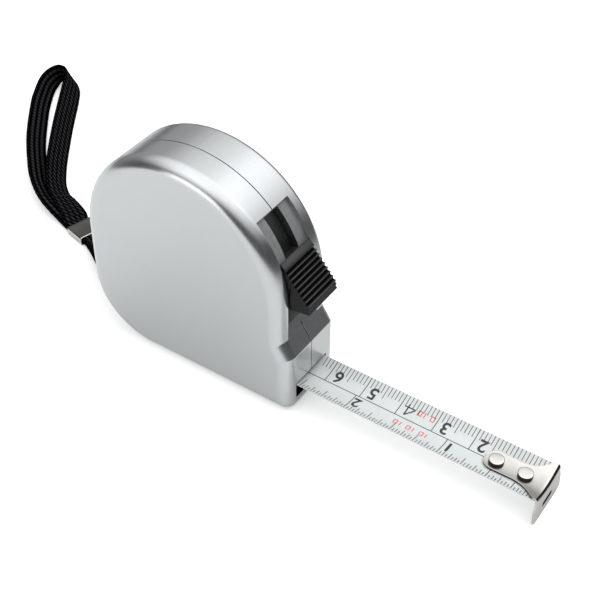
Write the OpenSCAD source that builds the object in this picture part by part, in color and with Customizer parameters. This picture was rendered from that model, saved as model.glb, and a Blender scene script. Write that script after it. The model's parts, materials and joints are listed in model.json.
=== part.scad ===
// Pocket tape measure, 3 m blade, 12.5 mm wide. Millimetres.
// Origin: on the flat base, under the reel's axis, in the plane where the two case halves meet.
// +X is the way the blade leaves, +Y runs along the reel's axis, +Z is up.

/* [Case] */
// Radius of the rounded top, which is centred on the reel
case_r = 29.6; // [29:0.1:30.5]
// Height of the reel's axis over the base
reel_z = 32.3; // [31.5:0.1:33]
// Thickness of the whole case, across both halves
case_w = 19.8; // [19.4:0.1:21]
// Radius of the big curve at the lower back corner
heel_r = 18; // [15:0.5:19]
// Distance from the reel's axis to the front of the nose
nose_x = 32.3; // [31.8:0.1:33]
// Height of the nose's front face
nose_z = 17.8; // [17:0.1:18.5]
// Height at which the sloped shoulder of the nose meets the case
shoulder_z = 22; // [21:0.1:22.5]
// Wall thickness of both halves
wall = 1.6; // [1.5:0.1:1.8]
// Rounding of the outer edges of the -Y half
edge_left = 4.2; // [3:0.1:4.4]
// Rounding of the outer edges of the +Y half, where the screws are
edge_right = 2; // [1.5:0.1:3.5]

/* [Blade] */
// Width of the steel blade
blade_w = 12.5; // [12:0.1:12.6]
// Thickness of the blade with its enamel
blade_t = 0.25; // [0.2:0.05:0.3]
// How far the blade's edges stand over its middle
blade_cup = 1.35; // [1:0.05:1.4]
// Height of the underside of the blade's middle
blade_z = 6.4; // [6.3:0.1:6.5]
// Length of blade drawn out of the case
blade_out = 64; // [50:1:80]

/* [Hook] */
// Thickness of the hook's front plate
hook_t = 0.9; // [0.7:0.1:1]
// Length of the tongue that is riveted to the blade
tongue_len = 15.8; // [14:0.1:17]
// Radius of the rivet heads
rivet_r = 1.75; // [1.5:0.05:1.9]

/* [Reel] */
// Outer radius of the spool's two flanges
flange_r = 23; // [21:0.5:23.5]
// Outer radius of the wound blade
coil_r = 19.5; // [18:0.5:20]
// Outer radius of the spring drum
drum_r = 12; // [11.5:0.1:12.5]
// Radius of the fixed post that the spool turns on
post_r = 2.5; // [2.3:0.1:2.7]
// Turns in the return spring
spring_turns = 6; // [4:1:7]

/* [Lock] */
// Half width of the channel that the thumb button slides in
channel_hw = 6.2; // [6:0.1:6.3]
// Upper end of the channel, in degrees above the reel's axis
channel_top = 45; // [44:1:47]
// Width of the thumb button
button_w = 11.6; // [11:0.1:11.8]
// Number of ribs on the thumb button
button_ribs = 8; // [6:1:9]
// How far the button turns up when it lets the blade go, in degrees
lock_travel = 18; // [12:1:18]

/* [Strap] */
// Width of the knitted wrist strap
strap_w = 7.5; // [7:0.1:8]
// Thickness of the wrist strap
strap_t = 0.9; // [0.8:0.1:1.2]

/* [Hidden] */
$fn = 96;
eps = 0.01;

// Case
half_w = case_w / 2;
inner_hw = half_w - wall;
heel_c = [heel_r - case_r, heel_r];
floor_r = case_r - 1;          // floor of the button's channel
guide_r = floor_r - 1.7;       // inside of the wall under the channel
slot_hw = 2.7;                 // half width of the slot in the channel's floor
slot_low = -10;                // lower end of that slot, degrees
// Screws: [x, z] of each boss
screw_xz = [[-6.6, 57], [-24.7, 38.9], [-17.5, 5.8], [27.2, 12.8]];
screw_r = 0.9;
boss_r = 2.1;
screw_head_r = 1.8;
head_y = half_w - 1;           // seat of the screw heads
slope = [case_r - nose_x, shoulder_z - nose_z];  // run of the nose's shoulder, upwards

// Blade
cup_r = (pow(blade_w / 2, 2) + pow(blade_cup, 2)) / (2 * blade_cup);
cup_z = blade_z + cup_r;       // height of the cup's centre
hook_x = nose_x + blade_out;   // inner face of the hook's plate
bend_x = 5;                    // where the blade leaves its level run for the coil

// Mouth
mouth_hw = blade_w / 2 + 0.35;
mouth_low = 3.8;
mouth_high = 8.6;

// Reel
flange_t = 0.6;
drum_hw = blade_w / 2 + 0.1;
drum_bore = drum_r - 1.5;
spring_t = 0.3;

// Lock
strip_r = guide_r - 0.2;       // outside of the sliding strip
strip_t = 1;
strip_hw = 4;
strip_low = -66.5;
strip_high = 47;
button_low = -14.3;            // lower end of the button's base plate, degrees
button_high = 22;              // upper end, degrees
lip_x = 35.5;                  // furthest point of the thumb grip
lip_z = 33.2;
grip_top = [29.1, 42.9];
rib_h = 0.55;

// Strap
pin_xz = [-23.6, 11.2];
pin_r = 0.9;
// Middle of the strap, from the back of the pin, out, round the loop and in again.
// Each point is [x, y, z, lean of the strap's width out of the level, in degrees]
strap_route = [
    [-21.4, 0, 12.6, 0], [-22.1, 0, 9.7, 0], [-24.6, 0, 9, 0], [-29, 0.3, 8, 0],
    [-36.5, 4.4, 6.2, 0], [-43, 9, 4.2, 0], [-48.5, 12.9, 1.8, 0], [-52, 14.84, 0.93, 0],
    [-60.5, 17.12, 0.88, 0], [-65.3, 18.5, 0.83, 5], [-69.1, 19.1, 1.39, 14],
    [-72.9, 19.9, 1.99, 24], [-77, 21.6, 2.37, 31], [-81.3, 24.2, 2.67, 37],
    [-86.5, 28.5, 2.76, 39], [-97.7, 39.7, 2.89, 42], [-109.1, 53.6, 3.02, 45],
    [-113.9, 60.6, 3.21, 50], [-117.1, 66.4, 3.44, 57], [-117.9, 70.6, 3.78, 74],
    [-117.3, 73.6, 3.82, 100], [-114.6, 74.2, 3.7, 112], [-110.9, 71.2, 3.28, 128],
    [-106.8, 65.6, 2.85, 139], [-96.8, 51.1, 2.76, 141], [-87, 37.8, 2.76, 141],
    [-82.3, 32, 2.76, 141], [-78.6, 27.9, 2.67, 143], [-74.2, 24.3, 2.25, 151],
    [-70.7, 22.8, 1.9, 161], [-66.9, 20.9, 1.95, 171], [-63.5, 19.1, 1.95, 177],
    [-60.5, 17.12, 1.86, 180], [-52, 14.84, 1.88, 180], [-48.5, 12.9, 2.9, 180],
    [-43, 9, 6.2, 180], [-36.5, 4.4, 9, 180], [-31, 0.9, 11.1, 180], [-27.3, 0, 12.3, 180],
    [-23.6, 0, 13.5, 180]
];
strap_fine = 2;                // rings between two points of the route
ferrule_c = [-56.3, 16];
ferrule_turn = 165;            // heading of the ferrule's long axis, degrees
ferrule_size = [6.9, 8.4, 2.7];
ferrule_wall = 0.35;

// ---------------------------------------------------------------- helpers

// A 2D drawing in the X-Z plane, made solid from y0 to y1
module slab(y0, y1) {
    translate([0, y1, 0]) rotate([90, 0, 0]) linear_extrude(y1 - y0) children();
}

// A round bar along Y, centred on [x, z]
module bar(xz, r, y0, y1) {
    translate([xz[0], y1, xz[1]]) rotate([90, 0, 0]) cylinder(r = r, h = y1 - y0);
}

// A ring along Y round the reel's axis
module reel_ring(r0, r1, y0, y1) {
    difference() {
        bar([0, reel_z], r1, y0, y1);
        bar([0, reel_z], r0, y0 - 1, y1 + 1);
    }
}

// A 2D sector of a ring, angles in degrees up from +X
module sector(r0, r1, a0, a1) {
    steps = 24;
    polygon(concat(
        [for (i = [0 : steps]) let (a = a0 + (a1 - a0) * i / steps) [r1 * cos(a), r1 * sin(a)]],
        [for (i = [steps : -1 : 0]) let (a = a0 + (a1 - a0) * i / steps) [r0 * cos(a), r0 * sin(a)]]));
}

// A piece of a round wall about the reel's axis, cut by a wedge so that its faces stay round
module reel_arc(r0, r1, a0, a1, hw) {
    intersection() {
        reel_ring(r0, r1, -hw, hw);
        translate([0, 0, reel_z]) slab(-hw - 1, hw + 1) sector(0, r1 * 1.6, a0, a1);
    }
}

// ---------------------------------------------------------------- case

// The rounded body, without its nose, drawn in by t
module body_outline(t) {
    translate([0, reel_z]) circle(r = case_r - t);
    translate(heel_c) circle(r = heel_r - t);
    translate([t - case_r, heel_r]) square([case_r, reel_z - heel_r]);
    translate([heel_c[0], t]) square([case_r - t - heel_c[0], reel_z - t]);
}

// The nose, drawn in by t
module nose_outline(t) {
    polygon([[0, t], [nose_x - t, t], [nose_x - t, nose_z - t / 2],
             [case_r - t, shoulder_z - t / 2], [0, shoulder_z - t / 2]]);
}

// One half of the case, from the joint to the outer face, with rounded outer edges
module half_form(edge) {
    for (part = [0, 1]) hull() {
        slab(0, half_w - edge) half_section(part, 0);
        for (a = [30, 60, 90])
            translate([0, half_w - edge * (1 - sin(a)) - 0.02, 0])
                slab(0, 0.02) half_section(part, edge * (1 - cos(a)));
    }
}

module half_section(part, t) {
    if (part == 0) body_outline(t, $fn = 64);
    else nose_outline(t);
}

// What both halves have in common, on the +Y side of the joint
module half_shell(edge) {
    difference() {
        union() {
            difference() {
                half_form(edge);
                slab(-1, inner_hw) {
                    body_outline(wall);
                    nose_outline(wall);
                }
            }
            intersection() {
                reel_arc(guide_r, case_r - 0.5, -28, channel_top + 4, 8);
                translate([0, 4, reel_z]) cube([90, 8, 90], center = true);
            }
            for (p = screw_xz) bar(p, boss_r, 0, inner_hw + eps);
            bar(pin_xz, pin_r + 1.2, inner_hw - 1, inner_hw + eps);
            bar([0, reel_z], post_r + 1.5, inner_hw - 0.3, inner_hw + eps);
        }
        channel_cut();
        reel_arc(guide_r - 1, case_r, slot_low, channel_top - 0.6, slot_hw);
        translate([nose_x - 5, -mouth_hw, mouth_low])
            cube([8, 2 * mouth_hw, mouth_high - mouth_low]);
        strap_slot();
        bar(pin_xz, pin_r, 0, inner_hw + 0.6);
    }
}

// The channel for the button: everything outside its floor, from the slope of the nose to its upper end
module channel_cut() {
    difference() {
        slab(-channel_hw, channel_hw)
            polygon([[case_r, shoulder_z], [case_r, shoulder_z] + 1.5 * slope,
                     [0, shoulder_z + 1.5 * slope[1]], [0, 2 * case_r], [case_r + 5, 2 * case_r],
                     [case_r + 5, shoulder_z]]);
        bar([0, reel_z], floor_r, -channel_hw - 1, channel_hw + 1);
        translate([0, 0, reel_z]) slab(-channel_hw - 1, channel_hw + 1)
            polygon([[0, 0], 60 * [cos(channel_top), sin(channel_top)], [-60, 60], [-60, 0]]);
    }
}

// Where the strap comes out, low on the back
module strap_slot() {
    translate([heel_c[0], 0, heel_c[1]]) rotate([0, -205, 0])
        translate([heel_r - 6, -strap_w / 2 - 0.6, -3.2]) cube([8, strap_w + 1.2, 6.4]);
}

module case_left() {
    color("silver") mirror([0, 1, 0]) difference() {
        half_shell(edge_left);
        for (p = screw_xz) bar(p, screw_r, -1, 5);
        bar([0, reel_z], post_r, inner_hw - 1, inner_hw + 0.7);
    }
}

module case_right() {
    color("silver") difference() {
        half_shell(edge_right);
        for (p = screw_xz) {
            bar(p, screw_r + 0.1, -1, half_w);
            bar(p, screw_head_r + 0.15, head_y, half_w + 1);
        }
        bar([0, reel_z], screw_r + 0.1, inner_hw - 1, half_w);
        bar([0, reel_z], screw_head_r + 0.15, head_y, half_w + 1);
    }
}

// A small screw along Y with a cross recess, head outwards
module small_screw(xz, tip_y) {
    difference() {
        union() {
            bar(xz, screw_r, tip_y, head_y + eps);
            bar(xz, screw_head_r, head_y, half_w - 0.15);
        }
        for (a = [0, 90]) translate([xz[0], half_w, xz[1]]) rotate([0, a, 0])
            cube([2.2, 1, 0.5], center = true);
    }
}

module case_screws() {
    color("dimgray") for (p = screw_xz) small_screw(p, -4.5);
}

module post_screw() {
    color("dimgray") small_screw([0, reel_z], inner_hw - 4);
}

module strap_pin() {
    color("gainsboro") bar(pin_xz, pin_r, -inner_hw - 0.6, inner_hw + 0.6);
}

module brake_pad() {
    color("black") translate([6, -5, wall]) cube([10, 10, blade_z - 0.3 - wall]);
}

// ---------------------------------------------------------------- reel

// Fixed post, slotted across for the inner end of the spring
module arbor_post() {
    color("gainsboro") difference() {
        bar([0, reel_z], post_r, -inner_hw - 0.7, inner_hw - 0.3);
        translate([-post_r - 1, -6.2, reel_z - 0.35]) cube([2 * post_r + 2, 10.4, 0.7]);
        bar([0, reel_z], screw_r, inner_hw - 4, inner_hw);
    }
}

module liner_disc_left() {
    color("whitesmoke") reel_ring(post_r + 1.8, flange_r - 1, -inner_hw + 0.1, -inner_hw + 0.5);
}

module liner_disc_right() {
    color("whitesmoke") reel_ring(post_r + 1.8, flange_r - 1, inner_hw - 0.5, inner_hw - 0.1);
}

module spool_drum() {
    color("white") difference() {
        reel_ring(drum_bore, drum_r, -drum_hw, drum_hw);
        translate([-2.4, -4, reel_z + drum_bore - 2]) cube([4.8, 8, 6]);
    }
}

// A flange with lightening windows and a bore that turns on the post
module spool_flange(y0) {
    difference() {
        bar([0, reel_z], flange_r, y0, y0 + flange_t);
        bar([0, reel_z], post_r + 0.06, y0 - 1, y0 + flange_t + 1);
        for (a = [30 : 60 : 330])
            bar([16 * cos(a), reel_z + 16 * sin(a)], 2.5, y0 - 1, y0 + flange_t + 1);
    }
}

module spool_flange_left() {
    color("white") spool_flange(-drum_hw - flange_t);
}

module spool_flange_right() {
    color("white") spool_flange(drum_hw);
}

// Steel clip in the drum's window that joins the blade's inner end to the spring
module blade_anchor() {
    color("silver") translate([-2.3, -3.9, reel_z + drum_bore + 0.3])
        cube([4.6, 7.8, drum_r - drum_bore - 0.5]);
}

// Flat spiral spring between the post and the drum
module return_spring() {
    steps = 24 * spring_turns;
    r_in = post_r + 0.7;
    r_out = drum_bore - spring_t - 0.15;
    function spiral(i, t) = let (a = 360 * spring_turns * i / steps,
                                 r = r_in + (r_out - r_in) * i / steps + t)
        [r * cos(a), r * sin(a)];
    color("slategray") translate([0, 0, reel_z]) slab(-5.5, 4)
        polygon(concat([[-1.5, -spring_t / 2], [r_in + spring_t, -spring_t / 2]],
                       [for (i = [0 : steps]) spiral(i, spring_t)],
                       [for (i = [steps : -1 : 1]) spiral(i, 0)],
                       [[r_in - 0.01, spring_t / 2], [-1.5, spring_t / 2]]));
}

module blade_coil() {
    color("ivory") reel_ring(drum_r + 0.05, coil_r, -blade_w / 2, blade_w / 2);
}

// ---------------------------------------------------------------- blade and hook

// A cupped strip along X between two radii of the cup, hw wide each side
module cupped(x0, x1, r0, r1, hw) {
    intersection() {
        translate([x0, 0, cup_z]) rotate([0, 90, 0]) difference() {
            cylinder(r = r1, h = x1 - x0, $fn = 180);
            translate([0, 0, -1]) cylinder(r = r0, h = x1 - x0 + 2, $fn = 180);
        }
        translate([x0, -hw, 0]) cube([x1 - x0, 2 * hw, cup_z - cup_r / 2]);
    }
}

// The drawn-out run, and the flat run inside that climbs to the coil
module tape_blade() {
    climb_to = [-8.9, 14.6];
    gap = 0.05;
    color("ivory") {
        difference() {
            cupped(bend_x, hook_x - 0.1, cup_r - blade_t, cup_r, blade_w / 2);
            for (x = rivet_x()) translate([x, 0, 0]) cylinder(r = 1, h = 20);
        }
        slab(-blade_w / 2, blade_w / 2)
            polygon([[bend_x - gap, blade_z], climb_to, climb_to + [0, blade_t],
                     [bend_x - gap, blade_z + blade_t]]);
    }
}

function rivet_x() = [hook_x - 12.7, hook_x - 5.3];

module rivet_holes(slack) {
    for (x = rivet_x()) for (d = [0, slack]) translate([x - d, 0, 0]) cylinder(r = 1.05, h = 20);
    if (slack > 0) for (x = rivet_x()) translate([x - slack, -1.05, 0]) cube([slack, 2.1, 20]);
}

module hook_rivets() {
    top = blade_z + blade_t + 0.75;
    color("gainsboro") for (x = rivet_x()) translate([x, 0, 0]) {
        translate([0, 0, blade_z - 1]) cylinder(r = 1, h = top - blade_z + 1.2);
        translate([0, 0, top]) cylinder(r = rivet_r, h = 0.55);
        translate([0, 0, top + 0.55]) cylinder(r1 = rivet_r, r2 = rivet_r - 0.6, h = 0.3, $fn = 48);
        translate([0, 0, blade_z - 1.3]) cylinder(r = rivet_r - 0.2, h = 0.5);
    }
}

// Small plate under the blade that the rivets are set against
module hook_backing() {
    color("gainsboro") difference() {
        cupped(hook_x - 14.6, hook_x - 2.6, cup_r + 0.02, cup_r + 0.45, 2.6);
        rivet_holes(0);
    }
}

// Plan of the tongue: round end, waist, and a flare to the full width of the blade
module tongue_plan() {
    x0 = hook_x - tongue_len;
    translate([x0 + 3, 0]) circle(r = 3);
    polygon([[x0 + 2.5, -3], [hook_x - 7, -2.9], [hook_x - 3.5, -3.8], [hook_x - 1.2, -6.1],
             [hook_x + hook_t, -6.2], [hook_x + hook_t, 6.2], [hook_x - 1.2, 6.1],
             [hook_x - 3.5, 3.8], [hook_x - 7, 2.9], [x0 + 2.5, 3]]);
}

module end_hook() {
    r_in = cup_r - blade_t - 0.55;
    color("gainsboro") difference() {
        union() {
            intersection() {
                cupped(hook_x - tongue_len, hook_x + hook_t, r_in, r_in + 0.5, 6.3);
                linear_extrude(20) tongue_plan();
            }
            intersection() {
                translate([hook_x, 0, 0]) rotate([90, 0, 90]) linear_extrude(hook_t)
                    polygon([[-4.6, 0.05], [4.6, 0.05], [6.2, 2.4], [6.2, 11], [-6.2, 11], [-6.2, 2.4]]);
                difference() {
                    translate([hook_x - 1, -10, 0]) cube([5, 20, 20]);
                    translate([hook_x - 2, 0, cup_z]) rotate([0, 90, 0])
                        cylinder(r = r_in, h = 9, $fn = 180);
                }
            }
        }
        rivet_holes(0.9);
        cupped(hook_x - 0.5, hook_x + 0.08, cup_r - blade_t - 0.05, cup_r + 0.35, 6.3);
        for (y = [-1.6, 1.6]) translate([hook_x - 1, y, 3.1]) rotate([0, 90, 0])
            cylinder(r = 0.5, h = 4, $fn = 32);
        translate([hook_x - 1, -1.6, 2.6]) cube([4, 3.2, 1]);
    }
}

// ---------------------------------------------------------------- lock

// Side view of the thumb grip, with a saw-tooth rib at each step of its slope
module grip_outline() {
    bottom = [lip_x, lip_z];
    run = (bottom - grip_top) / button_ribs;
    out = [-run[1], run[0]] / norm(run) * rib_h;
    polygon(concat(
        [for (i = [0 : button_ribs - 1]) each [grip_top + run * i - out,
            grip_top + run * (i + 0.12) , grip_top + run * (i + 0.62), grip_top + run * (i + 0.72) - out]],
        [bottom - out, bottom, [lip_x - 0.1, lip_z - 1.5], [lip_x - 1.5, lip_z - 2.6],
         [28, lip_z - 2.6], [27, 40]]));
}

module lock_button() {
    color("dimgray") {
        reel_arc(floor_r + 0.1, case_r, button_low, button_high, channel_hw - 0.3);
        difference() {
            slab(-button_w / 2, button_w / 2) grip_outline();
            bar([0, reel_z], case_r - 0.2, -button_w, button_w);
        }
        reel_arc(strip_r - 0.1, floor_r + 0.3, 0, 18, slot_hw - 0.2);
    }
}

// Curved strip that slides inside the wall, hides the slot and pinches the blade on its pad
module lock_strip() {
    color("black") difference() {
        reel_arc(strip_r - strip_t, strip_r, strip_low, strip_high, strip_hw);
        reel_arc(strip_r - strip_t - 1, strip_r + 1, -0.4, 18.4, slot_hw - 0.15);
    }
}

// ---------------------------------------------------------------- strap

function catmull(a, b, c, d, t) = 0.5 * (2 * b + (c - a) * t
    + (2 * a - 5 * b + 4 * c - d) * t * t + (3 * b - a - 3 * c + d) * t * t * t);

strap_last = len(strap_route) - 1;
strap_rings = [for (i = [0 : strap_last - 1]) for (k = [0 : strap_fine - 1])
    catmull(strap_route[max(i - 1, 0)], strap_route[i], strap_route[i + 1],
            strap_route[min(i + 2, strap_last)], k / strap_fine), strap_route[strap_last]];

function place(q) = [q[0], q[1], q[2]];
function unit(q) = q / norm(q);

// One flattened eight-sided ring, leant about the strap's own direction
function strap_ring(i) = let (
    n = len(strap_rings),
    d = unit(place(strap_rings[min(i + 1, n - 1)]) - place(strap_rings[max(i - 1, 0)])),
    side = strap_across(i),
    up = unit(cross(side, d)),
    hw = strap_w / 2, ht = strap_t / 2)
    [for (q = [[1, 0.5], [0.9, 1], [-0.9, 1], [-1, 0.5], [-1, -0.5], [-0.9, -1], [0.9, -1], [1, -0.5]])
        place(strap_rings[i]) + side * hw * q[0] + up * ht * q[1]];

// The strap's width: square to its heading, leant up out of the level
function strap_across(i) = let (
    n = len(strap_rings),
    d = strap_rings[min(i + 1, n - 1)] - strap_rings[max(i - 1, 0)],
    lean = strap_rings[i][3])
    unit([-d[1] * cos(lean), d[0] * cos(lean), norm([d[0], d[1]]) * sin(lean)]);

module wrist_strap() {
    n = len(strap_rings);
    color("black") polyhedron(
        points = [for (i = [0 : n - 1]) each strap_ring(i)],
        faces = concat([[for (k = [7 : -1 : 0]) k]],
            [for (i = [0 : n - 2]) for (k = [0 : 7]) each [
                [i * 8 + k, i * 8 + (k + 1) % 8, (i + 1) * 8 + k],
                [i * 8 + (k + 1) % 8, (i + 1) * 8 + (k + 1) % 8, (i + 1) * 8 + k]]],
            [[for (k = [0 : 7]) (n - 1) * 8 + k]]));
}

module strap_ferrule() {
    color("gainsboro") translate([ferrule_c[0], ferrule_c[1], ferrule_size[2] / 2])
        rotate([0, 0, ferrule_turn]) difference() {
            cube(ferrule_size, center = true);
            cube([ferrule_size[0] + 2, ferrule_size[1] - 2 * ferrule_wall,
                  ferrule_size[2] - 2 * ferrule_wall], center = true);
        }
}

case_left();
case_right();
case_screws();
arbor_post();
post_screw();
liner_disc_left();
liner_disc_right();
brake_pad();
strap_pin();
spool_drum();
spool_flange_left();
spool_flange_right();
return_spring();
blade_anchor();
blade_coil();
tape_blade();
hook_backing();
hook_rivets();
end_hook();
lock_button();
lock_strip();
wrist_strap();
strap_ferrule();
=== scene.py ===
"""Looks for a pocket tape measure: silver case, thumb lock, cupped blade, end hook, wrist strap.
Geometry is worked out in millimetres in the row frame and written to Blender in metres."""
import json
import math

import bmesh
import bpy
import numpy as np
from mathutils import Matrix, Vector


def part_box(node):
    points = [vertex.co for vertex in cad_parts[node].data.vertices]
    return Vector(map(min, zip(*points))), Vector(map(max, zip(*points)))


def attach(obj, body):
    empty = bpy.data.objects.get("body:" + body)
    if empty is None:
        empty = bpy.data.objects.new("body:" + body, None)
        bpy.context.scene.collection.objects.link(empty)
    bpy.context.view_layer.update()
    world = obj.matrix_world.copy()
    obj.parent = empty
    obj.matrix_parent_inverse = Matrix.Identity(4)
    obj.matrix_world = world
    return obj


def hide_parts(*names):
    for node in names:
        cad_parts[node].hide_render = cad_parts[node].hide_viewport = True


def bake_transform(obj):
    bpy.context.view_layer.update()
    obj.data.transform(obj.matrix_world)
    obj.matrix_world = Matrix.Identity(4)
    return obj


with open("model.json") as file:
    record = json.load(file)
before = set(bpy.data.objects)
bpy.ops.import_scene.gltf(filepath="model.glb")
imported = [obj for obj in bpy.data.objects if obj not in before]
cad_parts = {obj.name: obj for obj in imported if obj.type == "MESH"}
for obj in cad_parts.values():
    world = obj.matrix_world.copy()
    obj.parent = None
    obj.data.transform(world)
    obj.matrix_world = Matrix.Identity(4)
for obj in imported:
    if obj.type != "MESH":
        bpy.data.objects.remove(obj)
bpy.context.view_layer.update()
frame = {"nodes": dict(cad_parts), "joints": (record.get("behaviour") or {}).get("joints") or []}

MM = 0.001


def mm_box(node):
    """Lowest and highest corner of a CAD node, in millimetres."""
    low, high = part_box(node)
    return low / MM, high / MM


# ------------------------------------------------------------------ dimensions (mm)

CASE_LOW, CASE_HIGH = mm_box("case_left")
HOOK_LOW, HOOK_HIGH = mm_box("end_hook")
BLADE_LOW, BLADE_HIGH = mm_box("tape_blade")
BUTTON_LOW, BUTTON_HIGH = mm_box("lock_button")
JOINTS = {j["name"]: j for j in frame["joints"]}

CASE_R = -CASE_LOW.x
REEL_Z = JOINTS["reel_spin"]["pos_m"][2] / MM
HALF_W = -CASE_LOW.y
NOSE_X = CASE_HIGH.x
TOP_Z = CASE_HIGH.z
NOSE_Z = 17.8
SHOULDER_Z = 22.0
HEEL_R = 18.0
WALL = 1.6
SEAM = 0.09                # half width of the groove where the halves meet
SEAM_DEPTH = 0.6
EDGE_ROUND = {-1: (3.6, 3.7), 1: (2.0, 1.8)}    # of each half: across its face, into its thickness
SCREWS = [(-6.6, 57), (-24.7, 38.9), (-17.5, 5.8), (27.2, 12.8), (0, REEL_Z)]    # x, z of their seats
SCREW_SEAT_R = 1.95
OPENING = (4.35, 3.2)      # the strap's way out of the heel: half width and half height
OPENING_TURN = -205        # its direction about the heel's centre, degrees

CHANNEL_HW = 6.2
CHANNEL_LOW = -14.75       # where the line of the nose's slope meets the channel's floor, in degrees
CHANNEL_TOP = 45.0         # degrees above the reel's axis
FLOOR_R = CASE_R - 1.0
GUIDE_R = FLOOR_R - 1.7    # inside of the curved guide under that floor
GUIDE_LOW = -28.0
GUIDE_HW = 8.0
SLOT_HW = 2.7
SLOT_LOW = -10.0

GRIP_RIBS = (8, 0.6)       # hollows down the thumb grip's slope, and their depth
LIP_RIBS = (2, 0.3)        # on the blunt lip under it
RIB_STEPS = 10             # points from one ridge to the next
RIB_POWER = 2.8            # sharpness of the ridges
GRIP_CROWN = [(27.6, 43.4), (27.85, 43.35), (28.6, 42.7)]    # x, z over the top of the grip
GRIP_TOP = (28.75, 42.5)   # where its ridges start
LIP_Z = 34.8
FOOT_Z = 32.5

BLADE_W = BLADE_HIGH.y - BLADE_LOW.y
BLADE_T = 0.22
BLADE_CUP = 1.35
BLADE_Z = 6.4              # underside of the blade's middle
CUP_R = ((BLADE_W / 2) ** 2 + BLADE_CUP ** 2) / (2 * BLADE_CUP)
HOOK_X = BLADE_HIGH.x + 0.1
HOOK_T = HOOK_HIGH.x - HOOK_X
HOOK_HW = BLADE_W / 2 - 0.05
HOOK_LIFT = 0.06           # between the blade and the hook
TONGUE = HOOK_X - HOOK_LOW.x
PLATE_FLAT = 5.5           # half width of the straight part of the front plate's lower edge
PLATE_ROUND = 1.9          # radius of its corners
PLATE_LEAN = 0.35          # how much further out its lower edge is than the bend
PLATE_Z = 0.25             # height of its lower edge
PLATE_FLARE = 0.135        # how much wider it is there, as a part of the blade's width
SHEET_T = 0.5
BEND_R = 0.75
TONGUE_R = 3.0             # round inner end of the tongue
TONGUE_WAIST = (7.5, 2.88)    # where its neck is narrowest, from that end, and its half width there
NAIL_SLOT = (2.5, 2.4, 3.7)   # half width, lowest and highest z
RIVET_X = (HOOK_X - 12.7, HOOK_X - 5.3)
RIVET_R = 1.85
MOUTH_HW = BLADE_W / 2 + 0.35
MOUTH_Z = (3.8, 8.55)
# painted shade: the dark strip below stands for the shade inside the mouth
MOUTH_SHADE_X = (NOSE_X - 1.4, NOSE_X - 0.05)    # back and front of the dark strip at the mouth's upper edge
MOUTH_SHADE_HALF = (MOUTH_HW - 1.15, 0.25)       # half its width and half its height

INCH = 25.4
MM_REACH = (2.6, 3.7)      # length of the millimetre lines and of every fifth one
INCH_REACH = {1: 1.35, 2: 1.8, 4: 2.4, 8: 3.0, 16: 3.7}    # by how many thirty-seconds they mark
CM_ROW = 2.6               # y of the middle of the numbers
INCH_ROW = -2.2

STRAP_W = 7.5
STRAP_T = 0.9
STRAP_ROUTE = [            # x, y, z and the lean of the strap's width out of the level, as in the CAD
    (-21.4, 0, 12.6, 0), (-22.1, 0, 9.7, 0), (-24.6, 0, 9, 0), (-29, 0.3, 8, 0),
    (-36.5, 4.4, 6.2, 0), (-43, 9, 4.2, 0), (-48.5, 12.9, 1.8, 0), (-52, 14.84, 0.93, 0),
    (-60.5, 17.12, 0.88, 0), (-65.3, 18.5, 0.83, 5), (-69.1, 19.1, 1.39, 14),
    (-72.9, 19.9, 1.99, 24), (-77, 21.6, 2.37, 31), (-81.3, 24.2, 2.67, 37),
    (-86.5, 28.5, 2.76, 39), (-97.7, 39.7, 2.89, 42), (-109.1, 53.6, 3.02, 45),
    (-113.9, 60.6, 3.21, 50), (-117.1, 66.4, 3.44, 57), (-117.9, 70.6, 3.78, 74),
    (-117.3, 73.6, 3.82, 100), (-114.6, 74.2, 3.7, 112), (-110.9, 71.2, 3.28, 128),
    (-106.8, 65.6, 2.85, 139), (-96.8, 51.1, 2.76, 141), (-87, 37.8, 2.76, 141),
    (-82.3, 32, 2.76, 141), (-78.6, 27.9, 2.67, 143), (-74.2, 24.3, 2.25, 151),
    (-70.7, 22.8, 1.9, 161), (-66.9, 20.9, 1.95, 171), (-63.5, 19.1, 1.95, 177),
    (-60.5, 17.12, 1.86, 180), (-52, 14.84, 1.88, 180), (-48.5, 12.9, 2.9, 180),
    (-43, 9, 6.2, 180), (-36.5, 4.4, 9, 180), (-31, 0.9, 11.1, 180), (-27.3, 0, 12.3, 180),
    (-23.6, 0, 13.5, 180),
]
STRAP_STEP = 0.25
KNIT_DEPTH = 0.18
STITCH = (2.0, 1.46)       # outside of the knit: length of a stitch, width of a column
RIB = (1.7, 1.85)          # inside: length of a cross stitch, width of a rib
FERRULE_MID = (-56.3, 16.0)
FERRULE_TURN = 165.0
FERRULE_SIZE = (6.9, 8.4, 2.7)
FERRULE_ROUND = 0.8
FERRULE_RIM = [            # how far the sheet is drawn in, and how far that is from the clasp's end
    (0.4, 0.2), (0.25, 0.0), (0.08, 0.05), (0.0, 0.3), (0.12, 0.9),
]

# ------------------------------------------------------------------ camera, light and floor

CAMERA_AIM = (0.02877, 0.0, 0.02949)    # metres
CAMERA_AWAY = 0.28698
CAMERA_TURN = (33.47, 42.09, 0.51)      # azimuth, elevation and roll, degrees
SENSOR_WIDTH = 36.0
LENS = 72.54

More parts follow.
